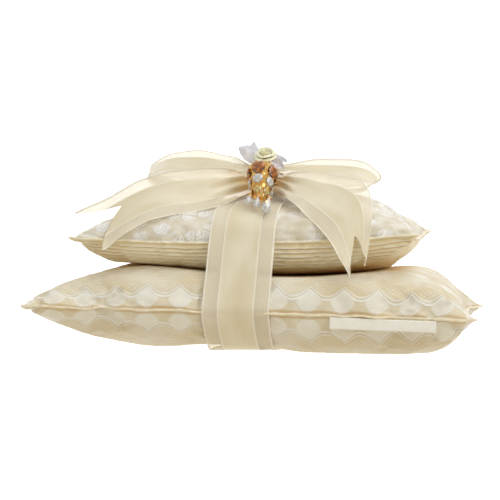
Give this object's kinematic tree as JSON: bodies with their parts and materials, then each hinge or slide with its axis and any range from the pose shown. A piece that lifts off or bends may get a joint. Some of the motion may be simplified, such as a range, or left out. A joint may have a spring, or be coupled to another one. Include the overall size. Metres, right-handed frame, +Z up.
{
  "type": "ring bearer pillow",
  "caption": "Square ivory cushions stacked and tied with a wide satin ribbon, with a bow, a small folded rose and a hanging jewelled pendant.",
  "frame": {"origin": "centre of the lower cushion's footprint, on the surface that it rests on", "axes": "+X to the right seen from the front, -Y towards the front (the side with the pendant and the label), +Z up"},
  "size_m": [0.255, 0.2565, 0.1255],
  "materials": {
    "jacquard": "satin",
    "embroidered_satin": "satin",
    "pintuck_satin": "satin",
    "fibre_filling": "matte",
    "label_satin": "satin",
    "ribbon_satin": "satin",
    "rose_satin": "satin",
    "organza": "sheer",
    "thread": "matte",
    "gold_metal": "polished",
    "amber_stone": "polished",
    "golden_stone": "polished",
    "clear_stone": "polished"
  },
  "bodies": {
    "pillow": {"lower_cover_top": "jacquard", "lower_cover_bottom": "jacquard", "lower_filling": "fibre_filling", "side_label": "label_satin", "upper_cover_top": "embroidered_satin", "upper_cover_bottom": "pintuck_satin", "upper_filling": "fibre_filling", "ribbon_wrap": "ribbon_satin", "ribbon_knot": "ribbon_satin", "bow_loop_left": "ribbon_satin", "bow_loop_right": "ribbon_satin", "bow_tail_left": "ribbon_satin", "bow_tail_right": "ribbon_satin", "rose": "rose_satin", "rose_leaf_left": "organza", "rose_leaf_right": "organza", "sewing_stitches": "thread", "pendant_bail": "gold_metal"},
    "pendant": {"pendant_frame": "gold_metal", "amber_stones": "amber_stone", "clear_stones": "clear_stone", "golden_stones": "golden_stone"},
    "front_drop": {"drop_ring_front": "gold_metal", "crystal_drop_front": "clear_stone"},
    "left_drop": {"drop_ring_left": "gold_metal", "crystal_drop_left": "clear_stone"},
    "right_drop": {"drop_ring_right": "gold_metal", "crystal_drop_right": "clear_stone"}
  },
  "joints": [
    {"name": "pendant_swing", "type": "hinge", "parent": "pillow", "child": "pendant", "pos_m": [0, -0.054, 0.1095], "axis": [-1, 0, 0], "range_deg": [0, 75]},
    {"name": "front_drop_swing", "type": "hinge", "parent": "pendant", "child": "front_drop", "pos_m": [0, -0.07509, 0.09073], "axis": [-1, 0, 0], "range_deg": [0, 60]},
    {"name": "left_drop_swing", "type": "hinge", "parent": "pendant", "child": "left_drop", "pos_m": [-0.0052, -0.07332, 0.09185], "axis": [-1, 0, 0], "range_deg": [0, 60]},
    {"name": "right_drop_swing", "type": "hinge", "parent": "pendant", "child": "right_drop", "pos_m": [0.0066, -0.07559, 0.08984], "axis": [-1, 0, 0], "range_deg": [0, 60]}
  ]
}
